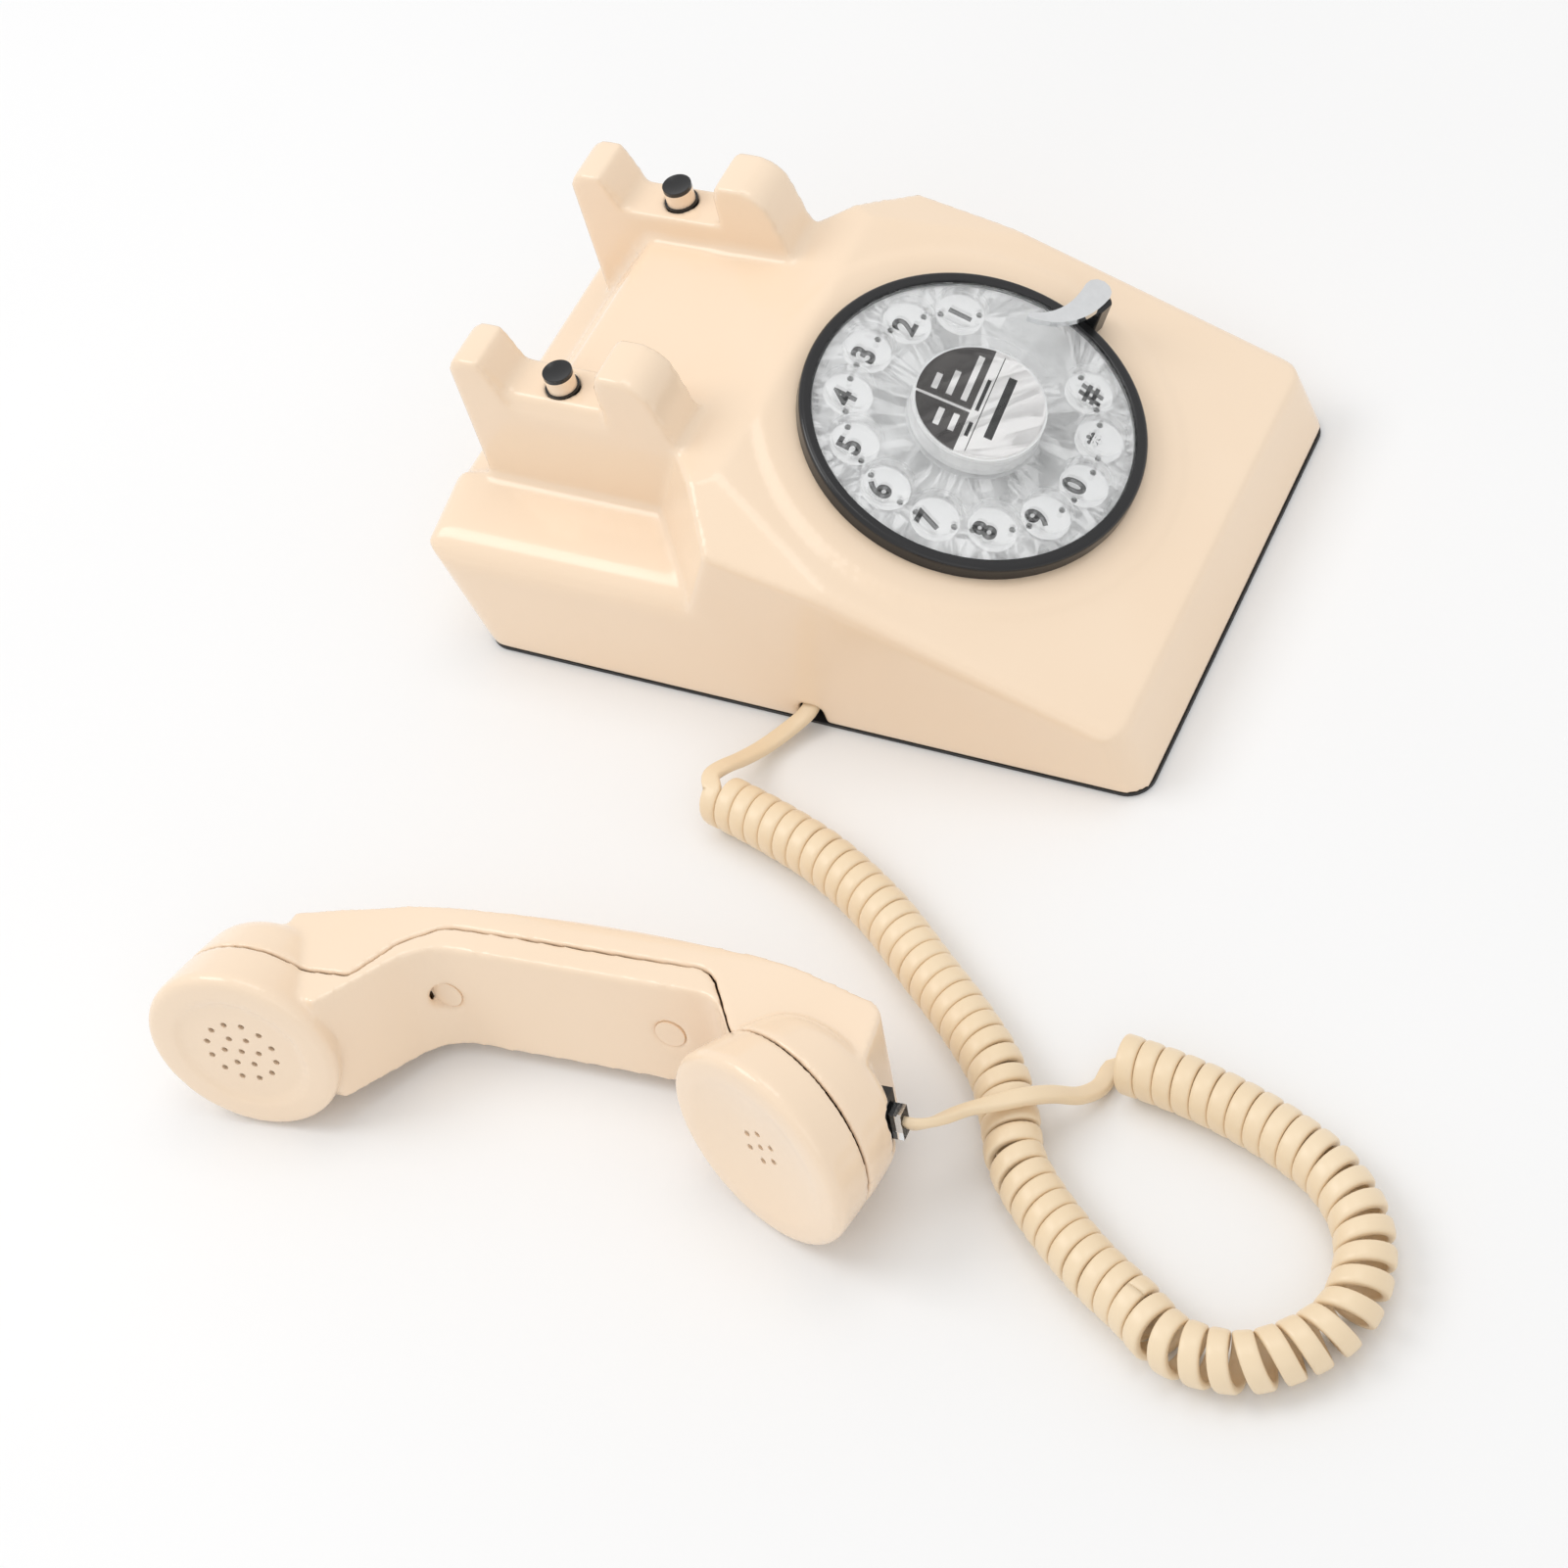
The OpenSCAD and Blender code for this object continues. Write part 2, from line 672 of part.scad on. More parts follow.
module dial_screws() {
    color(steel) on_dial() for (a = [90, 210, 330])
        rotate([0, 0, a]) translate([41.25, 0, 0]) {
            translate([0, 0, -11.2]) cylinder(h = 6, r = 0.95, $fn = 24);
            translate([0, 0, -12.2]) cylinder(h = 1.1, r = 1.7, $fn = 24);
        }
}

module finger_stop_post() {
    color(black) on_dial() rotate([0, 0, -17]) intersection() {
        difference() {
            translate([ring_radius + 2.6, 0, land_top]) cylinder(h = 10.2, r = 3.6);
            translate([0, 0, -20]) cylinder(h = 40, r = ring_radius + 0.1, $fn = 96);
        }
        translate([ring_radius + 2.6, 0, 0]) cube([8, 6, 60], center = true);
    }
}

// chrome hook: broad at the post, narrow and curved at the tip
stop_line = [[47.2, -12.7], [40, -12], [33.4, -8.8], [30.6, -0.6]];
function bezier(p, t) =
    p[0] * pow(1 - t, 3) + 3 * p[1] * t * pow(1 - t, 2) + 3 * p[2] * t * t * (1 - t) + p[3] * pow(t, 3);
function stop_width(t) = 3.6 - 1.4 * t - 1.4 * t * t;
function stop_heading(t) = unit(bezier(stop_line, min(t + 0.01, 1)) - bezier(stop_line, t - 0.01));
function stop_side(s, n) = [
    for (i = [0 : n])
        let (t = i / n, d = stop_heading(t))
        bezier(stop_line, t) + s * stop_width(t) * [-d[1], d[0]]
];
function stop_end(t, sense) =
    let (d = sense * stop_heading(t), side = [d[1], -d[0]])
    [for (a = [30 : 30 : 150]) bezier(stop_line, t) + stop_width(t) * (side * cos(a) + d * sin(a))];

module finger_stop() {
    lower = stop_side(-1, 10);
    upper = stop_side(1, 10);
    color(steel) on_dial() translate([0, 0, land_top + 10.2]) linear_extrude(1.9) polygon(concat(
        lower, stop_end(1, 1), [for (i = [10 : -1 : 0]) upper[i]], stop_end(0, -1)
    ));
}

// ---- handset -------------------------------------------------------------

seam_depth = 15;
taper = 0.205;

// solid of turning for one cup; the face is at z = 0
module cup(r, depth, inset) {
    rotate_extrude($fn = 96) intersection() {
        polygon(outline([
            [-30, -inset, 0], [r - inset, -inset, max(2.2 - inset, 0.3)],
            [r - taper * seam_depth - inset, -seam_depth, 20],
            [r - taper * seam_depth - 3.4 - inset, -depth + 6, 9],
            [-4, -depth + inset, 60], [-30, -depth + inset, 0]
        ]));
        translate([0, -100]) square([100, 200]);
    }
}

// side view of the handle
module handle(inset) {
    s = inset;
    w = handle_width / 2 - s;
    top = -handle_depth - s;
    intersection() {
        rotate([90, 0, 0]) linear_extrude(80, center = true) polygon(outline([
            [-66, -12 - s, 0], [-46 - s, -6 - s, 0], [-39, -16 - s, 0], [-29, top, 16], [48, top, 10], [62, -12, 0],
            [90 - s, -16, 0], [88 - s, -36 + s, 6], [60, -44.6 + s, 60], [14, -49.4 + s, 120],
            [-34, -43.6 + s, 60], [-66, -34 + s, 0]
        ]));
        rotate([90, 0, 90]) linear_extrude(220, center = true) polygon(outline([
            [-w, 10, 0], [-w, -48.2 + s, 9 - s], [-w + 7, -51 + s, 0], [w - 7, -51 + s, 0], [w, -48.2 + s, 9 - s], [w, 10, 0]
        ]));
    }
}

module handset_solid(inset) {
    on_ear() cup(ear_radius, 35, inset);
    on_mouth() cup(mouth_radius, 33, inset);
    handle(inset);
}

// region in front of the moulding seam
module front_region(gap) {
    rotate([90, 0, 0]) linear_extrude(90, center = true) polygon(outline([
        [-110, 30, 0], [-110, -11.5 + gap, 0], [-42, -17 + gap, 0], [-35, -30 + gap, 6], [-26, -37.6 + gap, 10],
        [44, -38.2 + gap, 8], [56, -20.5 + gap, 2], [100, 1.5 + gap, 0], [110, 30, 0]
    ]));
}

screw_u = [-26, 33.5];

module handset_front_shell() {
    color(cream) on_handset() difference() {
        intersection() {
            handset_solid(0);
            front_region(0.15);
        }
        difference() {
            handset_solid(2.2);
            for (u = screw_u) translate([u, 0, -40]) cylinder(h = 10, r = 4.6);
            // leaves the mouth cap's dished face 2 mm thick
            on_mouth() translate([0, 0, 96]) sphere(r = 100.2, $fn = 160);
        }
        // recessed face and sound holes of the ear cap
        on_ear() {
            translate([0, 0, -1]) cylinder(h = 4, r1 = 16.2, r2 = 20);
            holes_ear();
        }
        // dished face and sound holes of the mouth cap
        on_mouth() {
            translate([0, 0, 96]) sphere(r = 98.2, $fn = 160);
            holes_mouth();
        }
        for (u = screw_u) {
            translate([u, 0, -handle_depth - 1.4]) cylinder(h = 4, r = 4);
            translate([u, 0, -45]) cylinder(h = 20, r = 1.4);
            translate([u, 0, -handle_depth - 4]) cylinder(h = 4, r = 2.9);
        }
    }
}

module holes_ear() {
    translate([0, 0, -6]) cylinder(h = 8, r = 0.75, $fn = 16);
    for (i = [0 : 5]) rotate([0, 0, i * 60]) translate([4.6, 0, -6]) cylinder(h = 8, r = 0.75, $fn = 16);
    for (i = [0 : 11]) rotate([0, 0, i * 30 + 15]) translate([9, 0, -6]) cylinder(h = 8, r = 0.75, $fn = 16);
}

module holes_mouth() {
    translate([0, 0, -8]) cylinder(h = 10, r = 0.75, $fn = 16);
    for (i = [0 : 5]) rotate([0, 0, i * 60 + 30]) translate([4.4, 0, -8]) cylinder(h = 10, r = 0.75, $fn = 16);
}

socket_z = -17;

module handset_back_shell() {
    color(cream) on_handset() difference() {
        handset_solid(0);
        front_region(-0.15);
        difference() {
            handset_solid(2.2);
            for (u = screw_u) translate([u, 0, -60]) cylinder(h = 21.8, r = 4);
        }
        for (u = screw_u) translate([u, 0, -45]) cylinder(h = 20, r = 1.15);
        translate([83, -6.1, socket_z - 4.5]) cube([30, 12.2, 9]);
    }
}

module handset_screws() {
    color(steel) on_handset() for (u = screw_u) {
        translate([u, 0, -44]) cylinder(h = 10.1, r = 1.1);
        translate([u, 0, -33.9]) cylinder(h = 1.7, r = 2.6);
    }
}

module screw_plugs() {
    color(cream) on_handset() for (u = screw_u)
        translate([u, 0, -handle_depth - 1.35]) cylinder(h = 1.3, r = 3.8);
}

module receiver_capsule() {
    color(grey) on_handset() on_ear() {
        translate([0, 0, -11]) cylinder(h = 7.4, r = 17);
        translate([0, 0, -16]) cylinder(h = 5.2, r = 9);
    }
}

module microphone_capsule() {
    color(grey) on_handset() on_mouth() translate([0, 0, -11.5]) cylinder(h = 5.5, r = 5);
}

module handset_weight() {
    color(steel) on_handset() translate([-6, -8, -43.6]) cube([30, 16, 8]);
}

module handset_socket() {
    color(black) on_handset() difference() {
        translate([83.5, -6, socket_z - 4.4]) cube([10.6, 12, 8.8]);
        translate([85.2, -4.1, socket_z - 2.4]) cube([20, 8.2, 4.9]);
    }
}

// ---- cord ----------------------------------------------------------------

module handset_cord_plug() {
    color(clear) on_handset() translate([86, -3.8, socket_z - 2.1]) cube([12, 7.6, 4.2]);
}

module cord_base_plug() {
    color(clear) block([-61.8, 23.2, 4.1], [-50, 30.8, 8.3]);
}

module cord_base_tail() {
    color(cream) swept(spline(base_tail, 3), cord_width, cord_thickness);
}

module cord_coil_near() {
    color(cream) swept(coil_near, coil_diameter, coil_diameter);
}

module cord_coil_far() {
    color(cream) swept(coil_far, coil_diameter, coil_diameter);
}

module cord_handset_tail() {
    color(cream) swept(spline(handset_tail, 3), cord_width, cord_thickness);
}

housing();
base_plate();
base_screws();
main_board();
board_screws();
line_socket();
base_cord_socket();
ring_speaker();
base_weight();
hook_bracket();
hook_lever_pin();
hook_switch();
hook_spring();
hook_lever();
plunger_left();
plunger_right();
plunger_cap_left();
plunger_cap_right();
plunger_bushing_left();
plunger_bushing_right();
dial_ring();
dial_plate();
finger_plate();
finger_stop_post();
finger_stop();
key_mat();
key_board();
dial_screws();
key(0);  // key_1
key(1);  // key_2
key(2);  // key_3
key(3);  // key_4
key(4);  // key_5
key(5);  // key_6
key(6);  // key_7
key(7);  // key_8
key(8);  // key_9
key(9);  // key_0
key(10);  // key_star
key(11);  // key_hash
hands_free_button();
hands_free_card();
hands_free_lens();
handset_front_shell();
handset_back_shell();
handset_screws();
screw_plugs();
receiver_capsule();
microphone_capsule();
handset_weight();
handset_socket();
handset_cord_plug();
cord_base_plug();
cord_base_tail();
cord_coil_near();
cord_coil_far();
cord_handset_tail();
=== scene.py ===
"""Looks for the wall telephone: camera, materials, cords, soft-edged shells, digits, floor and lights."""

import math

import bmesh
import bpy
import numpy as np
from mathutils import Matrix, Vector


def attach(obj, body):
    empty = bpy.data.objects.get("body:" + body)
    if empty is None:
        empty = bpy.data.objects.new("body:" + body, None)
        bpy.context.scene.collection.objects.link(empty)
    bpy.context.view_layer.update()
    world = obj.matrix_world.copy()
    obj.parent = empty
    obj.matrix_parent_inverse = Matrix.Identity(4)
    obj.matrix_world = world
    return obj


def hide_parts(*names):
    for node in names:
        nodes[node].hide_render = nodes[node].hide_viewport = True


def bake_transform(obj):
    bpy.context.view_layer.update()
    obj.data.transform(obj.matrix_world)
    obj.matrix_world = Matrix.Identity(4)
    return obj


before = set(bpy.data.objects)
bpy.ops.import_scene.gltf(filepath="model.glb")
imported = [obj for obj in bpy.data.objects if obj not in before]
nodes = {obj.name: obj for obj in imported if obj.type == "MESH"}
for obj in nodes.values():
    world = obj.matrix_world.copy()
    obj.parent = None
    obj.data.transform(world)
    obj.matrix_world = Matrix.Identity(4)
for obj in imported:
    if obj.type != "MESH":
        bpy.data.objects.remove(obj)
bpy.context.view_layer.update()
MM = 0.001


# ---- camera ----------------------------------------------------------------

CAMERA_PLACE = Vector((-0.4965, -0.3253, 0.6486))
CAMERA_TARGET = Vector((-0.0862, 0.0263, 0))
CAMERA_ROLL = math.radians(-19.42)
CAMERA_LENS = 76.16


def make_camera():
    forward = (CAMERA_TARGET - CAMERA_PLACE).normalized()
    level = forward.cross(Vector((0, 0, 1))).normalized()
    above = level.cross(forward)
    right = level * math.cos(CAMERA_ROLL) + above * math.sin(CAMERA_ROLL)
    up = right.cross(forward)
    data = bpy.data.cameras.new("camera")
    data.lens = CAMERA_LENS
    data.sensor_width = 36
    data.clip_start = 0.01
    camera = bpy.data.objects.new("camera", data)
    turn = Matrix((right, up, -forward)).transposed().to_4x4()
    camera.matrix_world = Matrix.Translation(CAMERA_PLACE) @ turn
    bpy.context.collection.objects.link(camera)
    bpy.context.scene.camera = camera


make_camera()


# ---- materials -------------------------------------------------------------


class Paint:
    """A node material: nodes are added with add(), and a socket is a value or another node's output."""

    def __init__(self, name):
        self.material = bpy.data.materials.new(name)
        self.material.use_nodes = True
        self.tree = self.material.node_tree
        self.tree.nodes.clear()
        self.shader = self.tree.nodes.new("ShaderNodeBsdfPrincipled")
        out = self.tree.nodes.new("ShaderNodeOutputMaterial")
        self.tree.links.new(self.shader.outputs[0], out.inputs[0])
        self.place = self.add("ShaderNodeTexCoord").outputs["Object"]

    def put(self, node, key, value):
        socket = node.inputs[key]
        if isinstance(value, bpy.types.NodeSocket):
            self.tree.links.new(value, socket)
        else:
            socket.default_value = value

    def add(self, kind, settings=None, **inputs):
        node = self.tree.nodes.new(kind)
        for key, value in (settings or {}).items():
            setattr(node, key, value)
        for key, value in inputs.items():
            self.put(node, key.replace("_", " "), value)
        return node

    def base(self, **inputs):
        for key, value in inputs.items():
            self.put(self.shader, key.replace("_", " "), value)

    def noise(self, scale, detail=2.0, rough=0.5, place=None):
        node = self.add("ShaderNodeTexNoise", Scale=scale, Detail=detail, Roughness=rough)
        self.tree.links.new(place or self.place, node.inputs["Vector"])
        return node.outputs["Fac"]

    def span(self, value, low, high, start=0.3, end=0.7):
        """value from start to end, mapped to low to high."""
        node = self.add("ShaderNodeMapRange")
        self.tree.links.new(value, node.inputs["Value"])
        for key, number in (("From Min", start), ("From Max", end), ("To Min", low), ("To Max", high)):
            node.inputs[key].default_value = number
        return node.outputs["Result"]

    def math(self, operation, a, b=0.0):
        node = self.add("ShaderNodeMath", {"operation": operation})
        self.put(node, 0, a)
        self.put(node, 1, b)
        return node.outputs[0]

    def blend(self, share, a, b):
        node = self.add("ShaderNodeMix", {"data_type": "RGBA"})
        self.put(node, "Factor", share)
        self.put(node, 6, a)
        self.put(node, 7, b)
        return node.outputs[2]

    def bump(self, height, depth, strength=1.0, normal=None):
        node = self.add("ShaderNodeBump", Height=height, Distance=depth, Strength=strength)
        if normal is not None:
            self.tree.links.new(normal, node.inputs["Normal"])
        return node.outputs["Normal"]

    def stretched(self, x, y, z, turn=(0, 0, 0)):
        node = self.add("ShaderNodeMapping", Vector=self.place)
        node.inputs["Scale"].default_value = (x, y, z)
        node.inputs["Rotation"].default_value = turn
        return node.outputs[0]


def shade(r, g, b):
    return (r, g, b, 1)


def moulded(name, light, dark, rough, spread=0.06, grain=0.00002, coat=0.0):
    """Moulded plastic: faint cloudy colour, uneven gloss, fine mould texture and light scuffs."""
    p = Paint(name)
    cloud = p.noise(18, 3)
    p.base(Base_Color=p.blend(p.span(cloud, 0, 1), shade(*dark), shade(*light)))
    scuffs = p.noise(700, 3, 0.6, p.stretched(1, 0.12, 0.5, (0.3, 0.2, 0.7)))
    patches = p.span(p.noise(55, 4), rough - spread / 2, rough + spread / 2)
    gloss = p.math("ADD", patches, p.span(scuffs, 0, spread, 0.55, 0.8))
    p.base(Roughness=gloss, IOR=1.5, Coat_Weight=coat, Coat_Roughness=0.06)
    p.base(Normal=p.bump(p.noise(1400, 2), grain, 0.5))
    return p.material


def clear(name, tint, rough=0.02, haze=1.0):
    """Clear moulded plastic with faint flow marks; a haze under 1 lets most of the light straight through."""
    p = Paint(name)
    p.base(Base_Color=p.blend(p.span(p.noise(30, 2), 0, 1), shade(*tint), shade(0.99, 0.99, 0.99)))
    gloss = p.span(p.noise(90, 3), rough, rough + 0.04)
    p.base(Roughness=gloss, IOR=1.49, Transmission_Weight=1.0, Alpha=haze)
    p.base(Normal=p.bump(p.noise(120, 1), 0.00004, 0.35))
    return p.material


def metal(name, light, dark, rough, spread, grain, stretch=(1, 1, 1)):
    """Plated or bare metal with an uneven finish."""
    p = Paint(name)
    spots = p.noise(260, 4, 0.6, p.stretched(*stretch))
    p.base(Base_Color=p.blend(p.span(spots, 0, 1), shade(*dark), shade(*light)), Metallic=1.0)
    p.base(Roughness=p.span(p.noise(120, 4), rough, rough + spread))
    p.base(Normal=p.bump(spots, grain, 0.4))
    return p.material


cream = moulded("cream_plastic", (0.930, 0.745, 0.560), (0.915, 0.720, 0.530), 0.20, coat=0.25)
cord_cream = moulded("cord_cream", (0.880, 0.715, 0.500), (0.850, 0.675, 0.455), 0.34, grain=0.00003)
black_gloss = moulded("black_gloss", (0.016, 0.016, 0.017), (0.011, 0.011, 0.012), 0.2, 0.1)
black_matt = moulded("black_matt", (0.022, 0.022, 0.023), (0.014, 0.014, 0.015), 0.5, 0.12, 0.00006)
grey_plastic = moulded("grey_plastic", (0.36, 0.36, 0.37), (0.30, 0.30, 0.31), 0.4, 0.1)
grey_rubber = moulded("grey_rubber", (0.27, 0.27, 0.28), (0.22, 0.22, 0.23), 0.62, 0.12, 0.00008)
ink = moulded("black_ink", (0.012, 0.012, 0.013), (0.008, 0.008, 0.009), 0.35, 0.1, 0.00001)
clear_plastic = clear("clear_plastic", (0.965, 0.975, 0.975))
thin_clear = clear("thin_clear_plastic", (0.97, 0.98, 0.98), haze=0.16)
steel = metal("plated_steel", (0.72, 0.72, 0.74), (0.58, 0.58, 0.61), 0.24, 0.2, 0.00003)
iron = metal("cast_iron", (0.25, 0.24, 0.24), (0.16, 0.155, 0.15), 0.5, 0.25, 0.00015)
chrome = metal("chrome", (0.86, 0.87, 0.88), (0.80, 0.81, 0.82), 0.03, 0.05, 0.000004)
alloy = metal("capsule_alloy", (0.66, 0.66, 0.67), (0.55, 0.55, 0.57), 0.3, 0.15, 0.00002, (1, 0.15, 1))


def circuit():
    """Green board with darker tracks."""
    p = Paint("circuit_board")
    track = p.add("ShaderNodeTexBrick", {"offset": 0.35}, Vector=p.stretched(60, 60, 60))
    track.inputs["Mortar Size"].default_value = 0.06
    green = p.blend(p.span(p.noise(300, 3), 0, 1), shade(0.012, 0.09, 0.035), shade(0.018, 0.13, 0.05))
    p.base(Base_Color=p.blend(track.outputs["Fac"], green, shade(0.03, 0.2, 0.08)))
    p.base(Roughness=p.span(p.noise(200, 3), 0.25, 0.45), Normal=p.bump(track.outputs["Fac"], 0.00005, 0.6))
    return p.material


def print_plate():
    """Pale silvery print under the clear keys, with a fine pearl grain."""
    p = Paint("silver_print")
    grain = p.noise(2600, 3, 0.7)
    cloud = p.noise(24, 3)
    colour = p.blend(p.span(cloud, 0, 1), shade(0.84, 0.85, 0.85), shade(0.88, 0.89, 0.89))
    p.base(Base_Color=p.blend(p.span(grain, 0, 0.5), colour, shade(0.93, 0.93, 0.93)), Metallic=0.05)
    p.base(Roughness=p.span(grain, 0.28, 0.42), Normal=p.bump(grain, 0.00001, 0.4))
    return p.material


DIAL_TILT = math.radians(24)
DIAL_CENTRE = Vector((0, 0, 53.1)) * MM
DIAL = Matrix.Translation(DIAL_CENTRE) @ Matrix.Rotation(DIAL_TILT, 4, "X")
CARD_TURN = math.radians(4)


def card_print():
    """Two-tone card: a dark part with plain pale bars, a pale part with plain dark bars."""
    p = Paint("card_print")
    node = p.add("ShaderNodeMapping", {"vector_type": "TEXTURE"}, Vector=p.place)
    node.inputs["Location"].default_value = DIAL_CENTRE
    node.inputs["Rotation"].default_value = (DIAL_TILT, 0, 0)
    turned = p.add("ShaderNodeMapping", {"vector_type": "TEXTURE"}, Vector=node.outputs[0])
    turned.inputs["Rotation"].default_value = (0, 0, CARD_TURN)
    turned.inputs["Scale"].default_value = (MM, MM, MM)
    axes = p.add("ShaderNodeSeparateXYZ", Vector=turned.outputs[0])
    x, y = axes.outputs[0], axes.outputs[1]

    def within(value, low, high):
        return p.math("MULTIPLY", p.math("GREATER_THAN", value, low), p.math("LESS_THAN", value, high))

    def bar(x0, x1, y0, y1):
        return p.math("MULTIPLY", within(x, x0, x1), within(y, y0, y1))

    def any_of(parts):
        total = parts[0]
        for part in parts[1:]:
            total = p.math("MAXIMUM", total, part)
        return total

    dark = p.math("MULTIPLY", p.math("GREATER_THAN", y, 1.5), p.math("LESS_THAN", y, 40))
    pale_marks = any_of([
        bar(-4.3, -3.5, 1.5, 20),
        bar(-1.6, 3.4, 11.4, 13.0), bar(-1.6, 6.2, 7.4, 9.0), bar(-1.6, 13.2, 3.4, 5.0),
        bar(-11.6, -6.2, 7.4, 9.0), bar(-11.6, -6.2, 3.4, 5.0),
    ])
    dark_marks = any_of([
        bar(-15.6, 15.6, -1.35, -1.1),
        bar(-9.6, 10.6, -6.3, -4.1),
        bar(-11.4, -6.8, -0.4, 0.6), bar(-3.0, 7.4, -0.4, 0.6),
    ])
    tint = p.span(p.noise(60, 3), 0, 1)
    charcoal = p.blend(tint, shade(0.085, 0.08, 0.08), shade(0.11, 0.105, 0.10))
    white = p.blend(tint, shade(0.86, 0.85, 0.84), shade(0.92, 0.91, 0.905))
    on_dark = p.blend(pale_marks, charcoal, white)
    on_pale = p.blend(dark_marks, white, shade(0.05, 0.05, 0.05))
    p.base(Base_Color=p.blend(dark, on_pale, on_dark), Roughness=p.span(p.noise(400, 3), 0.4, 0.55))
    p.base(Normal=p.bump(p.noise(1500, 3), 0.00001, 0.4))
    return p.material


board = circuit()
silver = print_plate()
card = card_print()


# ---- meshes ----------------------------------------------------------------


def new_mesh(name, points, faces, material, smooth=True):
    mesh = bpy.data.meshes.new(name)
    mesh.from_pydata([tuple(p) for p in points], [], faces)
    mesh.validate()
    mesh.update()
    mesh.materials.append(material)
    for face in mesh.polygons:
        face.use_smooth = smooth
    piece = bpy.data.objects.new(name, mesh)
    bpy.context.collection.objects.link(piece)
    return piece


# ---- cords -----------------------------------------------------------------

# the routes, as in the CAD, in metres
BASE_TAIL = np.array([
    (-61.85, 27, 6.2), (-63.5, 27, 6), (-67, 27.8, 4.8), (-72, 31, 3.4), (-79, 34.6, 3.6),
    (-86, 37, 6.4), (-92, 38.4, 10.2), (-97, 39, 12.4),
]) * MM
COIL = np.array([
    (-99.6, 36.4, 7), (-104, 18, 7), (-110, 0, 7), (-120, -19, 7), (-132, -36, 7), (-142, -50, 7),
    (-153, -63, 7), (-164, -71, 7), (-174, -77, 7), (-183, -87, 7), (-193, -102, 7), (-200, -116, 7),
    (-206, -128, 7), (-205, -143, 7), (-197, -154, 7), (-187, -160, 7), (-175, -160, 7), (-164, -155, 7),
    (-155, -145, 7), (-149, -131, 7), (-145, -116, 7), (-143, -103, 7), (-142, -90, 7),
]) * MM
HANDSET_TAIL = np.array([
    (-141, -86.6, 1.6), (-147, -86, 2.2), (-152.5, -83.5, 5.5), (-157, -79.5, 11), (-161.5, -75.5, 15),
    (-166, -70.5, 16.8), (-171, -65, 18.6), (-177.5, -61.4, 22.2), (-180.6, -58.1, 23.9), (-180.9, -55.6, 23.9),
]) * MM
CORD_WIDTH = 4.7 * MM
CORD_THICK = 2.4 * MM
COIL_MIDDLE = 5.8 * MM
PITCH = 4.78 * MM
PER_TURN = 26
LINE_STEPS = 40

# the point of the coil's route where the near length ends and the far one starts
SPLIT = 11


def smooth_line(p, steps):
    out = []
    for i in range(len(p) - 1):
        a, b, c, d = p[max(i - 1, 0)], p[i], p[i + 1], p[min(i + 2, len(p) - 1)]
        for k in range(steps):
            t = k / steps
            out.append(0.5 * (2 * b + (c - a) * t + (2 * a - 5 * b + 4 * c - d) * t * t
                              + (3 * b - a - 3 * c + d) * t ** 3))
    out.append(p[-1])
    return np.array(out)


def along(line):
    """Distance of every point of the line from its start."""
    return np.concatenate([[0], np.cumsum(np.linalg.norm(np.diff(line, axis=0), axis=1))])


def evenly(line, step):
    s = along(line)
    n = max(int(round(s[-1] / step)), 1)
    at = np.linspace(0, s[-1], n + 1)
    return np.stack([np.interp(at, s, line[:, k]) for k in range(3)], axis=1)


def units(v):
    return v / np.linalg.norm(v, axis=1, keepdims=True)


def coil_rings():
    """Ring centres and outward directions of the whole coil, and the place on the route of each."""
    route = evenly(smooth_line(COIL, LINE_STEPS), 0.25 * MM)
    s = along(route)
    t = units(np.gradient(route, s, axis=0))
    bend = np.linalg.norm(np.gradient(t, s, axis=0), axis=1)
    window = 41
    bend = np.convolve(np.pad(bend, window // 2, mode="edge"), np.ones(window) / window, mode="valid")
    rate = (1 - COIL_MIDDLE * bend) / PITCH
    turns = np.concatenate([[0], np.cumsum((rate[1:] + rate[:-1]) / 2 * np.diff(s))])
    whole = math.floor(turns[-1]) + 0.5
    turns *= whole / turns[-1]
    k = np.arange(int(whole * PER_TURN) + 1) / PER_TURN
    where = np.interp(k, turns, s)
    centre = np.stack([np.interp(where, s, route[:, i]) for i in range(3)], axis=1)
    tangent = units(np.stack([np.interp(where, s, t[:, i]) for i in range(3)], axis=1))
    up = np.array([0, 0, 1.0])
    side = units(np.cross(tangent, up))
    angle = 2 * math.pi * k[:, None]
    out = np.cos(angle) * up + np.sin(angle) * side
    return centre + COIL_MIDDLE * out, out, where


def section():
    """Flat cord's section: gently rounded broad sides and round edges."""
    points = []
    count = 16
    for k in range(count):
        a = 2 * math.pi * (k + 0.5) / count
        c, s = math.cos(a), math.sin(a)
        points.append((
            math.copysign(abs(c) ** 0.45, c) * CORD_WIDTH / 2,
            math.copysign(abs(s) ** 0.62, s) * CORD_THICK / 2,
        ))
    return np.array(points)


def cord_mesh(name, line, out):
    t = units(np.gradient(line, axis=0))
    normal = units(out - t * np.sum(out * t, axis=1, keepdims=True))
    across = np.cross(t, normal)
    shape = section()
    n = len(shape)
    rings = line[:, None] + across[:, None] * shape[None, :, 0:1] + normal[:, None] * shape[None, :, 1:2]
    faces = [
        (i * n + k, i * n + (k + 1) % n, (i + 1) * n + (k + 1) % n, (i + 1) * n + k)
        for i in range(len(line) - 1) for k in range(n)
    ]
    faces.append(tuple(range(n - 1, -1, -1)))
    faces.append(tuple((len(line) - 1) * n + k for k in range(n)))
    return new_mesh(name, rings.reshape(-1, 3), faces, cord_cream)


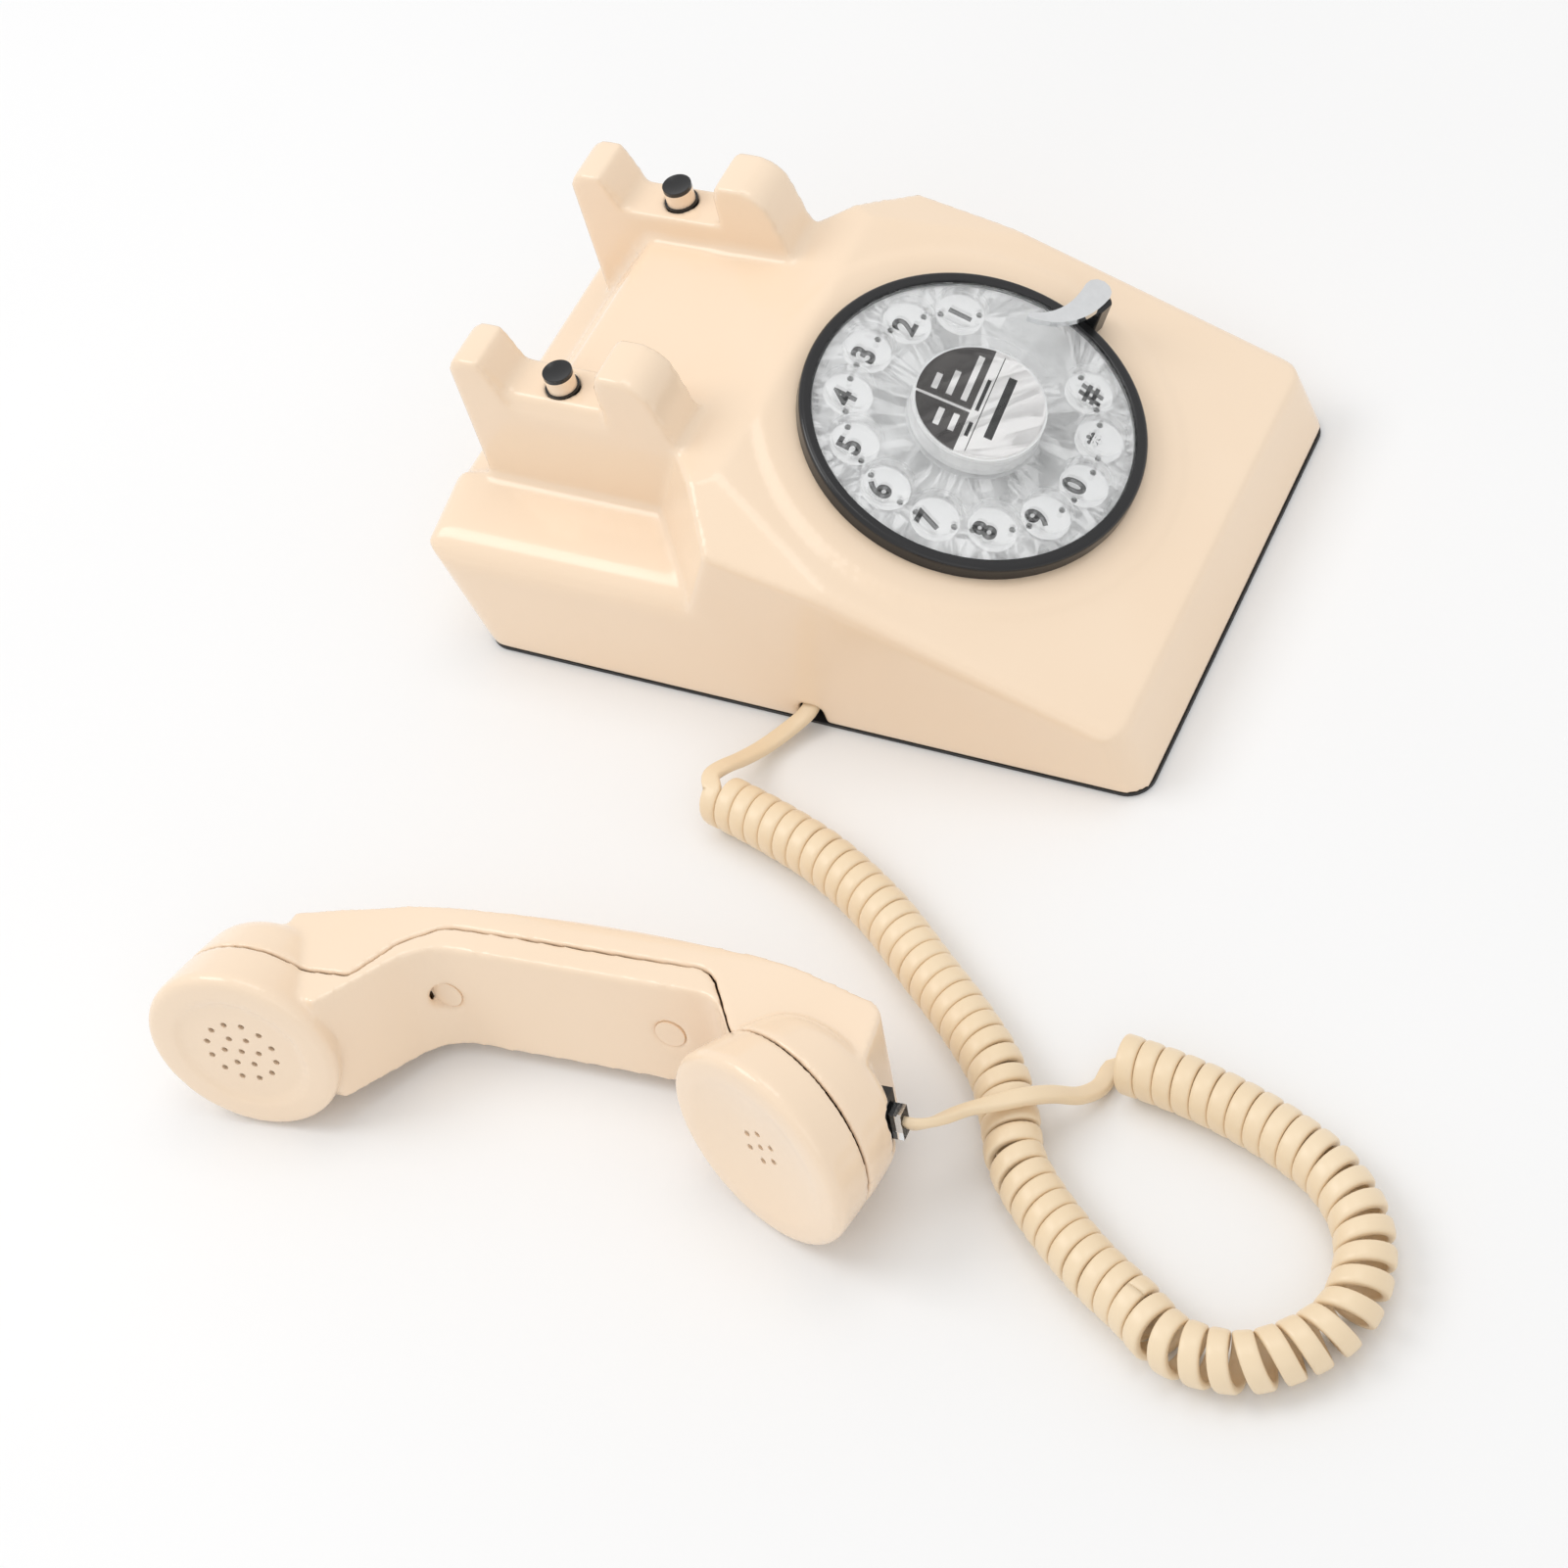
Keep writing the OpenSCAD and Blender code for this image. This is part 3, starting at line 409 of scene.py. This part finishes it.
def make_cords():
    coil, out, where = coil_rings()
    split_at = along(smooth_line(COIL, LINE_STEPS))[SPLIT * LINE_STEPS]
    away = np.linalg.norm(coil[:, :2] - COIL[SPLIT, :2], axis=1)
    split = int(np.argmin(away + 10 * np.abs(where - split_at)))
    first = evenly(smooth_line(np.concatenate([BASE_TAIL, coil[1:4]]), 12), 1.2 * MM)
    keep = np.linalg.norm(first - coil[1], axis=1)
    first = first[: int(np.argmin(keep))]
    up = np.tile([0, 0, 1.0], (len(first), 1))
    near = np.concatenate([first, coil[1 : split + 1]])
    near_out = np.concatenate([up, out[1 : split + 1]])
    last = evenly(smooth_line(np.concatenate([coil[-4:-1], HANDSET_TAIL]), 12), 1.2 * MM)
    last = last[int(np.argmin(np.linalg.norm(last - coil[-2], axis=1))) + 1 :]
    share = np.clip((along(last) / along(last)[-1] - 0.45) / 0.5, 0, 1)[:, None]
    share = share * share * (3 - 2 * share)
    down = units(np.array([0, 0, -1.0]) * (1 - share) + np.array([-0.975, -0.094, -0.3]) * share)
    far = np.concatenate([coil[split:-1], last])
    far_out = np.concatenate([out[split:-1], down])
    for name, line, direction in (("cord_near", near, near_out), ("cord_far", far, far_out)):
        piece = cord_mesh(name, line, direction)
        print("cord", name, "length", round(along(line)[-1], 4), "rings", len(line))
        yield piece, line


(cord_near, near_line), (cord_far, far_line) = make_cords()
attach(cord_near, "phone")
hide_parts("cord_base_tail", "cord_coil_near")
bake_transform(cord_far)
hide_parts("cord_coil_far", "cord_handset_tail")
round(float(along(near_line)[-1]), 3)
round(float(along(far_line)[-1]), 3)


# ---- CAD nodes -------------------------------------------------------------

SLOTS = {
    "base_plate": black_matt, "hook_switch": black_matt, "line_socket": black_matt, "base_cord_socket": black_matt,
    "handset_socket": black_matt, "dial_ring": black_gloss, "finger_stop_post": black_gloss,
    "plunger_cap_left": black_gloss, "plunger_cap_right": black_gloss, "plunger_bushing_left": black_gloss,
    "plunger_bushing_right": black_gloss, "base_screws": steel, "board_screws": steel, "dial_screws": steel,
    "handset_screws": steel, "hook_bracket": steel, "hook_lever_pin": steel, "hook_spring": steel,
    "base_weight": iron, "handset_weight": iron, "main_board": board, "key_board": board, "ring_speaker": alloy,
    "receiver_capsule": alloy, "microphone_capsule": alloy, "hook_lever": grey_plastic, "key_mat": grey_rubber,
    "dial_plate": silver, "hands_free_button": silver, "hands_free_card": card, "finger_stop": chrome,
    "finger_plate": thin_clear, "hands_free_lens": thin_clear, "handset_cord_plug": clear_plastic,
    "cord_base_plug": clear_plastic,
}
for name, piece in nodes.items():
    clear_key = name.startswith("key_") and name not in ("key_mat", "key_board")
    finish = thin_clear if clear_key else SLOTS.get(name, cream)
    for index in range(len(piece.data.materials)):
        piece.data.materials[index] = finish


# ---- softened shells -------------------------------------------------------

# the handset's own frame, and its two caps' frames inside it
HANDSET = (
    Matrix.Translation(Vector((-207.2, 40.4, 25.9)) * MM)
    @ Matrix.Rotation(math.radians(-84.5), 4, "Z") @ Matrix.Rotation(math.radians(78.4), 4, "X")
    @ Matrix.Rotation(math.radians(0.87), 4, "Z")
)
EAR = HANDSET @ Matrix.Translation(Vector((-67.6, 0, 0)) * MM) @ Matrix.Rotation(math.radians(4.5), 4, "Y")
MOUTH = HANDSET @ Matrix.Translation(Vector((67.6, 0, 0)) * MM) @ Matrix.Rotation(math.radians(-23.5), 4, "Y")


def rods(places, radius):
    """Short round rods as one mesh; places holds (frame, x, y, low, high) in millimetres."""
    made = bmesh.new()
    for start, x, y, low, high in places:
        bmesh.ops.create_cone(
            made, cap_ends=True, segments=24, radius1=radius * MM, radius2=radius * MM, depth=(high - low) * MM,
            matrix=start @ Matrix.Translation(Vector((x, y, (low + high) / 2)) * MM),
        )
    mesh = bpy.data.meshes.new("rods")
    made.to_mesh(mesh)
    made.free()
    return mesh


def ring_of(start, radius, count, first, low, high):
    for i in range(count):
        angle = math.radians(first + 360 * i / count)
        yield start, radius * math.cos(angle), radius * math.sin(angle), low, high


def sound_holes(extra):
    """The sound holes' places, with the rods reaching extra millimetres past the faces."""
    inside, outside = -2.2 - extra, -1 + extra
    ear = [(EAR, 0, 0, inside, outside)]
    ear += ring_of(EAR, 4.6, 6, 0, inside, outside)
    ear += ring_of(EAR, 9, 12, 15, inside, outside)
    inside, outside = -4.2 - extra, -2.2 + extra
    mouth = [(MOUTH, 0, 0, inside, outside)]
    mouth += ring_of(MOUTH, 4.4, 6, 30, inside, outside + 0.1)
    return ear + mouth


def baked(piece):
    """The piece with its modifiers made real."""
    bpy.context.view_layer.update()
    mesh = bpy.data.meshes.new_from_object(piece.evaluated_get(bpy.context.evaluated_depsgraph_get()))
    piece.modifiers.clear()
    piece.data = mesh
    return mesh


def softened(name, body, voxel, rounds, filled=None, drilled=None):
    """The same shell with its edges and inner corners rounded; small holes are filled first and drilled again."""
    source = nodes[name]
    joined = bmesh.new()
    joined.from_mesh(source.data)
    joined.transform(source.matrix_world)
    if filled:
        joined.from_mesh(filled)
    mesh = bpy.data.meshes.new(name + "_soft")
    joined.to_mesh(mesh)
    joined.free()
    piece = bpy.data.objects.new(name + "_soft", mesh)
    bpy.context.collection.objects.link(piece)
    grid = piece.modifiers.new("grid", "REMESH")
    grid.mode = "VOXEL"
    grid.voxel_size = voxel
    grid.use_smooth_shade = True
    relax = piece.modifiers.new("relax", "SMOOTH")
    relax.factor = 0.5
    relax.iterations = rounds
    baked(piece)
    if drilled:
        drill = bpy.data.objects.new("drill", drilled)
        bpy.context.collection.objects.link(drill)
        cut = piece.modifiers.new("cut", "BOOLEAN")
        cut.operation = "DIFFERENCE"
        cut.solver = "MANIFOLD"
        cut.object = drill
        baked(piece)
        bpy.data.objects.remove(drill)
    piece.data.materials.clear()
    piece.data.materials.append(cream)
    print("softened", name, "faces", len(piece.data.polygons))
    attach(piece, body)
    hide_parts(name)


HANDSET_GRID = 0.7 * MM
HOUSING_GRID = 1.15 * MM
softened(
    "handset_front_shell", "handset", HANDSET_GRID, 14,
    filled=rods(sound_holes(0), 0.85), drilled=rods(sound_holes(1), 0.8),
)
softened("handset_back_shell", "handset", HANDSET_GRID, 14)
softened("housing", "phone", HOUSING_GRID, 5)


# ---- digits ----------------------------------------------------------------


DIGIT_SIZE = 8.4 * MM
DIGIT_CIRCLE = 32.4
DIGIT_DEPTH = -1.66
FIRST_KEY = math.radians(30)
KEY_STEP = math.radians(26)


def digit(text, name, index):
    """A flat printed digit on the dial plate, a little to the side where a real one has letters beside it."""
    curve = bpy.data.curves.new(name, "FONT")
    curve.body = text
    curve.size = DIGIT_SIZE
    curve.offset = 0.3 * MM
    curve.extrude = 0.03 * MM
    curve.align_x = "CENTER"
    curve.resolution_u = 4
    piece = bpy.data.objects.new(name, curve)
    bpy.context.collection.objects.link(piece)
    angle = FIRST_KEY + KEY_STEP * index
    lettered = 1 <= index <= 9
    x = DIGIT_CIRCLE * math.cos(angle) + (-1.1 if lettered else 0)
    y = DIGIT_CIRCLE * math.sin(angle) + (0.25 * index if lettered else 0) - 2.9
    bpy.context.view_layer.update()
    mesh = bpy.data.meshes.new_from_object(piece.evaluated_get(bpy.context.evaluated_depsgraph_get()))
    bpy.data.objects.remove(piece)
    mesh.transform(DIAL @ Matrix.Translation(Vector((x, y, DIGIT_DEPTH)) * MM))
    mesh.materials.clear()
    mesh.materials.append(ink)
    solid = bpy.data.objects.new(name, mesh)
    bpy.context.collection.objects.link(solid)
    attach(solid, "phone")


for index, text in enumerate("1234567890*#"):
    digit(text, "digit_" + {"*": "star", "#": "hash"}.get(text, text), index)


# ---- floor and light -------------------------------------------------------


def make_stage():
    floor = new_mesh("floor", [(-6, -6, -0.0002), (6, -6, -0.0002), (6, 6, -0.0002), (-6, 6, -0.0002)],
                     [(0, 1, 2, 3)], None, False)
    p = Paint("floor")
    p.base(Base_Color=p.blend(p.span(p.noise(3, 2), 0, 1), shade(0.87, 0.87, 0.87), shade(0.9, 0.9, 0.9)))
    p.base(Roughness=0.6)
    floor.data.materials.clear()
    floor.data.materials.append(p.material)
    world = bpy.data.worlds.new("world")
    world.use_nodes = True
    world.node_tree.nodes["Background"].inputs[0].default_value = (1, 1, 1, 1)
    world.node_tree.nodes["Background"].inputs[1].default_value = 0.8
    bpy.context.scene.world = world
    for name, place, size, power in (
        ("key_light", (-0.3, 0.9, 1.2), 0.7, 5), ("fill_light", (-1.2, -0.9, 0.9), 1.0, 1.5),
        ("top_light", (0.3, 0.0, 1.6), 0.8, 3),
    ):
        light = bpy.data.lights.new(name, "AREA")
        light.size = size
        light.energy = power
        lamp = bpy.data.objects.new(name, light)
        lamp.location = place
        lamp.rotation_euler = (-Vector(place)).to_track_quat("-Z", "Y").to_euler()
        bpy.context.collection.objects.link(lamp)
    bpy.context.scene.view_settings.view_transform = "Standard"


make_stage()
